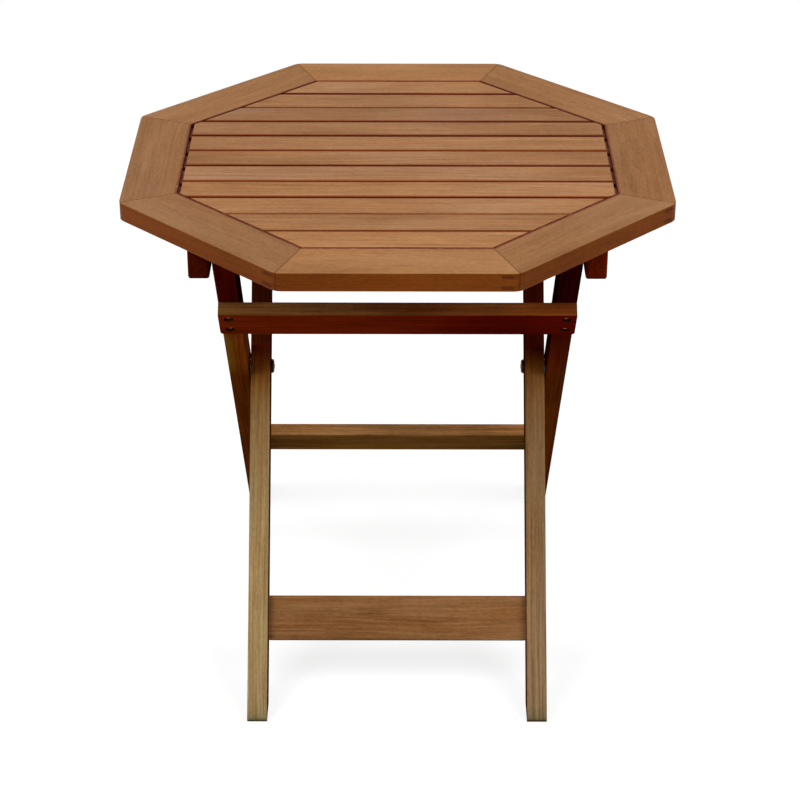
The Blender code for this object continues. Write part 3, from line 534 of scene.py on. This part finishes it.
def wood_material(name, wood, along, thick, seed, tone, bloom, extra):
    """Solid wood whose grain runs along one direction, with end grain where a face cuts it."""
    material, graph, shader = new_material(name)
    source = graph.node("TexCoord")
    place, facing = grain_place(graph, along, thick, seed, source)
    bent = bent_grain(graph, place, wood.wander)
    rings = ring_lines(graph, bent)
    streaks = graph.noise(bent, *STREAK_NOISE).outputs[0]
    pores = graph.noise(bent, *PORE_NOISE).outputs[0]
    flecks = graph.noise(place, *FLECK_NOISE).outputs[0]
    mottle = graph.noise(place, *MOTTLE_NOISE).outputs[0]
    blotch = graph.noise(place, *BLOTCH_NOISE).outputs[0]
    warmth = graph.noise(bent, *WARMTH_NOISE).outputs[0]

    shade = centred(graph, rings, wood.rings)
    for value, amount in (
            (streaks, wood.streaks), (flecks, wood.flecks),
            (mottle, wood.mottle), (blotch, wood.blotch)):
        shade = graph.math("ADD", shade, centred(graph, value, amount))
    shade = graph.math("ADD", shade, NOISE_MIDDLE, clamp=True)
    pore = graph.product(graph.step(pores, *PORE_RANGE), PORE_SHARE)

    on_face = graph.step(facing[2], *FACE_RANGE)
    base = plain_wood(graph, source, wood, facing, on_face, tone)
    dull = graph.product(graph.step(blotch, *DULL_RANGE), on_face, bloom)
    base = graph.tinted(base, DULL_TINT, dull)
    warm = graph.product(graph.step(warmth, *WARM_RANGE), WARM_SHARE)
    base = graph.tinted(base, WARM_TINT, warm)
    if extra:
        base = extra(graph, source, base)
    darker = graph.tinted(base, DARK_GRAIN_TINT)
    lighter = graph.tinted(base, LIGHT_GRAIN_TINT)
    color = graph.mix(shade, darker, lighter)
    color = graph.mix(pore, color, scaled(wood.end, PORE_TONE * tone))
    graph.feed(shader.inputs["Base Color"], color)

    rough = graph.mixed_number(
        shade, wood.roughness + ROUGHNESS_SWING, wood.roughness - ROUGHNESS_SWING)
    graph.feed(shader.inputs["Roughness"], rough)
    shader.inputs["Specular IOR Level"].default_value = wood.specular
    relief = graph.math(
        "ADD", centred(graph, streaks, GRAIN_STREAK_RELIEF),
        centred(graph, rings, GRAIN_RING_RELIEF))
    relief = graph.math("SUBTRACT", relief, pore)
    bump = graph.node("Bump", Height=relief, Strength=GRAIN_BUMP, Distance=GRAIN_DEPTH)
    graph.feed(shader.inputs["Normal"], bump.outputs[0])
    return material


def top_seams(graph, source, color):
    """Dark lines at the mitres, broken ones round the slats, and painted shade on the underside.
    """
    place = source.outputs["Object"]
    x, y, _ = graph.xyz(graph.vector("ABSOLUTE", place))
    longer = graph.math("MAXIMUM", x, y)
    shorter = graph.math("MINIMUM", x, y)
    diagonal = graph.product(graph.math("ADD", x, y), math.sqrt(0.5))
    reach = graph.math("MAXIMUM", longer, diagonal)
    past_inner = graph.math("SUBTRACT", reach, INNER_HALF)
    beside = graph.step(graph.math("ABSOLUTE", past_inner), *SEAM_REACH)
    broken = graph.step(graph.noise(place, *SEAM_NOISE).outputs[0], *SEAM_RANGE)
    broken = graph.math("MAXIMUM", broken, graph.step(graph.xyz(place)[1], *SEAM_WHOLE))
    inner = graph.product(beside, graph.product(broken, SEAM_SHARE))
    across = graph.math(
        "SUBTRACT", graph.product(longer, math.sin(HALF_SIDE_ANGLE)),
        graph.product(shorter, math.cos(HALF_SIDE_ANGLE)))
    mitre = graph.product(
        graph.step(graph.math("ABSOLUTE", across), *MITRE_REACH),
        graph.step(past_inner, *MITRE_START), MITRE_SHARE)
    color = graph.tinted(color, SEAM_TINT, graph.math("MAXIMUM", inner, mitre))
    # Painted shade on surfaces that face down
    below = graph.step(graph.xyz(source.outputs["Normal"])[2], *UNDERSIDE_RANGE)
    return graph.tinted(color, UNDERSIDE_SHADE_TINT, below)


def slat_edges(node, front_shade, back_shade):
    """The seams of the top, and painted shade at a slat's long edges. Walls with little painted
    shade are pale.
    """
    low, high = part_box(node)

    def paint(graph, source, color):
        color = top_seams(graph, source, color)
        y = graph.xyz(source.outputs["Object"])[1]
        inside = graph.math(
            "MINIMUM", graph.math("SUBTRACT", y, low.y), graph.math("SUBTRACT", high.y, y))
        to_back = graph.step(y, low.y, high.y)
        gap_shade = graph.mixed_number(to_back, front_shade, back_shade)
        pale = graph.mixed_number(
            to_back, max(0.0, PALE_BELOW - front_shade), max(0.0, PALE_BELOW - back_shade))
        wall = graph.step(inside, *WALL_REACH)
        color = graph.mix(graph.product(wall, pale), color, PALE_WALL)
        gap_shaded = graph.product(graph.step(inside, *GAP_SHADE_REACH), gap_shade)
        return graph.tinted(color, GAP_SHADE_TINT, gap_shaded)
    return paint


def lit_patch(graph, source, color):
    """Painted light: a lighter stretch of the left outer leg under the upper rail, golden on its
    outer half.
    """
    place = source.outputs["Object"]
    x, _, z = graph.xyz(place)
    patches = graph.step(graph.noise(place, *PATCH_NOISE).outputs[0], *PATCH_RANGE)
    share = graph.product(graph.step(z, *PATCH_BOTTOM), graph.step(z, *PATCH_TOP), patches)
    return graph.mix(
        share, color, graph.mix(graph.step(x, *PATCH_OUTWARD), PATCH_WARM, PATCH_GOLDEN))


def rail_shade(screws, facing, ends):
    """Painted shade round a rail's sunk screws, and towards the ends of all but its front face."""
    def paint(graph, source, color):
        place = source.outputs["Object"]
        square = graph.node("VectorMath", {"operation": "DOT_PRODUCT"})
        graph.feed(square.inputs[0], source.outputs["Normal"])
        graph.feed(square.inputs[1], facing)
        beside = graph.step(square.outputs["Value"], *RAIL_BESIDE_RANGE)
        out = graph.math("ABSOLUTE", graph.xyz(place)[0])
        color = graph.tinted(
            color, RAIL_END_SHADE_TINT, graph.product(graph.step(out, *RAIL_ENDS), beside, ends))
        distances = []
        for node in screws:
            low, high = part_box(node)
            offset = graph.vector("SUBTRACT", place, (Vector(low) + Vector(high)) / 2)
            distances.append(graph.length(graph.vector("CROSS_PRODUCT", offset, facing)))
        nearest = distances[0]
        for distance in distances[1:]:
            nearest = graph.math("MINIMUM", nearest, distance)
        return graph.tinted(color, SCREW_SHADE_TINT, graph.step(nearest, *SCREW_REACH))
    return paint


# Metal

def metal_material(name, color, dark, roughness, crown=None):
    """Metal with scratches and duller patches. A crown is a point on its axis and its colour."""
    material, graph, shader = new_material(name)
    place = graph.node("TexCoord").outputs["Object"]
    tarnish = graph.noise(place, *TARNISH_NOISE).outputs[0]
    scratches = graph.noise(place, *SCRATCH_NOISE).outputs[0]
    worn = graph.math(
        "ADD", graph.product(tarnish, TARNISH_SHARE), graph.product(scratches, SCRATCH_SHARE))
    worn = graph.step(worn, *WORN_RANGE)
    shade = graph.mix(worn, dark, color)
    if crown:
        centre, bright = crown
        offset = graph.vector("SUBTRACT", place, centre)
        from_axis = graph.length(graph.vector("MULTIPLY", offset, (0.0, 1.0, 1.0)))
        shade = graph.mix(graph.step(from_axis, *CROWN_FADE), shade, bright)
    graph.feed(shader.inputs["Base Color"], shade)
    rough = graph.mixed_number(worn, roughness + WORN_ROUGHNESS, roughness)
    graph.feed(shader.inputs["Roughness"], rough)
    shader.inputs["Metallic"].default_value = 1.0
    bump = graph.node("Bump", Height=scratches, Strength=METAL_BUMP, Distance=METAL_DEPTH)
    graph.feed(shader.inputs["Normal"], bump.outputs[0])
    return material


# Dressing the nodes

def dress(node, material):
    for slot in NODES[node].material_slots:
        slot.material = material


def dress_board(node, wood, along, thick, seed, tone=1.0, bloom=0.3, extra=None):
    dress(node, wood_material(node + "_wood", wood, along, thick, seed, tone, bloom, extra))


def dress_top():
    for index, (node, turn, tone, bloom) in enumerate(RIM_BOARDS):
        angle = math.radians(turn)
        along = (math.cos(angle), math.sin(angle), 0.0)
        seed = FIRST_SEED["rim"] + index
        dress_board(node, TOP_WOOD, along, UP, seed, tone, bloom, top_seams)
    for index, (tone, bloom) in enumerate(zip(SLAT_TONES, SLAT_BLOOM)):
        node = f"slat_{index + 1:02d}"
        edges = slat_edges(node, GAP_SHADES[index], GAP_SHADES[index + 1])
        seed = FIRST_SEED["slat"] + index
        dress_board(node, SLAT_WOOD, ACROSS, UP, seed, tone, bloom, edges)


def dress_frame():
    sides = (
        ("left", INNER_LEG_LEFT_WOOD, OUTER_LEG_LEFT_WOOD, lit_patch, 0.66),
        ("right", INNER_LEG_RIGHT_WOOD, OUTER_LEG_RIGHT_WOOD, None, 1.40),
    )
    for index, (side, inner_wood, outer_wood, patch, batten_tone) in enumerate(sides):
        boards = (
            ("inner_leg", inner_wood, INNER_ALONG, INNER_FACING, 1.0, 0.2, None),
            ("outer_leg", outer_wood, OUTER_ALONG, OUTER_FACING, 1.0, 0.0, patch),
            ("batten", SHADED_UNDER_WOOD, AWAY, UP, batten_tone, 0.0, None),
            ("bar_catch", SHADED_UNDER_WOOD, AWAY, UP, 1.0, 0.0, None),
        )
        for board, wood, along, thick, tone, bloom, extra in boards:
            seed = FIRST_SEED[board] + index
            dress_board(f"{board}_{side}", wood, along, thick, seed, tone, bloom, extra)
    for rail, wood, ends in (
            ("upper_rail", UPPER_RAIL_WOOD, 0.75), ("back_rail", BACK_RAIL_WOOD, 0.2)):
        screws = [node for node in NODES if node.startswith(rail + "_screw_")]
        shade = rail_shade(screws, OUTER_FACING, ends)
        dress_board(rail, wood, ACROSS, OUTER_FACING, FIRST_SEED[rail], bloom=0.2, extra=shade)
    dress_board("foot_rail", FOOT_RAIL_WOOD, ACROSS, INNER_FACING, FIRST_SEED["foot_rail"])
    dress_board("support_bar", SHADED_UNDER_WOOD, ACROSS, UP, FIRST_SEED["support_bar"])


def dress_metal():
    brass = metal_material("aged_brass", *BRASS)
    steel = metal_material("dull_steel", *STEEL)
    for node in NODES:
        if "_cap_" in node:
            low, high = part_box(node)
            crown = ((Vector(low) + Vector(high)) / 2, CROWN_COLOR)
            dress(node, metal_material(node + "_bronze", *BRONZE, crown=crown))
        elif "_washer_" in node:
            dress(node, steel)
        elif "_screw_" in node or "_bolt_" in node:
            dress(node, brass)


# Floor and light

def seen_share(graph):
    """1 for rays that show a thing to the eye, also by reflection or through glass."""
    path = graph.node("LightPath")
    indirect = graph.math(
        "MAXIMUM", path.outputs["Is Glossy Ray"], path.outputs["Is Transmission Ray"])
    return graph.math("MAXIMUM", path.outputs["Is Camera Ray"], indirect)


def combined(graph, kind, *parts):
    """The shader that a node of this kind makes of its parts, in the order of its inputs."""
    made = graph.node(kind)
    for socket, part in zip(made.inputs, parts):
        graph.feed(socket, part)
    return made.outputs[0]


def floor_material():
    material, graph, _ = new_material("pale_floor")
    graph.tree.nodes.clear()
    plain = graph.node("BsdfDiffuse", Color=FLOOR_GREY).outputs[0]
    pale = graph.node("BsdfDiffuse", Color=FLOOR_SEEN_GREY).outputs[0]
    glow = graph.node("Emission", Strength=FLOOR_GLOW).outputs[0]
    white = graph.node("Emission").outputs[0]
    distance = graph.length(graph.node("TexCoord").outputs["Object"])
    fade = graph.step(distance, FADE_START, FADE_END)
    shown = combined(graph, "MixShader", fade, combined(graph, "AddShader", pale, glow), white)
    surface = combined(graph, "MixShader", seen_share(graph), plain, shown)
    graph.node("OutputMaterial", Surface=surface)
    return material


def add_stage():
    mesh = bpy.data.meshes.new("floor")
    size, low = FLOOR_SIZE, CAD_LOW.z
    corners = [(-size, -size, low), (size, -size, low), (size, size, low), (-size, size, low)]
    mesh.from_pydata(corners, [], [(0, 1, 2, 3)])
    mesh.materials.append(floor_material())
    floor = bpy.data.objects.new("floor", mesh)
    bpy.context.scene.collection.objects.link(floor)


def add_world():
    world = bpy.data.worlds.new("studio")
    bpy.context.scene.world = world
    world.use_nodes = True
    graph = Graph(world.node_tree)
    graph.tree.nodes.clear()
    soft = graph.node("Background", Color=WHITE, Strength=SOFT_LIGHT).outputs[0]
    seen = graph.node("Background", Color=WHITE, Strength=SEEN_LIGHT).outputs[0]
    surface = combined(graph, "MixShader", seen_share(graph), soft, seen)
    graph.node("OutputWorld", Surface=surface)


def add_lamps():
    for name, place, size, power in LAMPS:
        data = bpy.data.lights.new(name, "AREA")
        data.shape = "SQUARE"
        data.size = size
        data.energy = power
        lamp = bpy.data.objects.new(name, data)
        bpy.context.scene.collection.objects.link(lamp)
        lamp.location = place
        lamp.rotation_euler = (LAMP_AIM - place).to_track_quat("-Z", "Y").to_euler()


add_camera()
add_stage()
add_world()
add_lamps()
dress_top()
dress_frame()
dress_metal()

bpy.context.scene.view_settings.view_transform = "Standard"
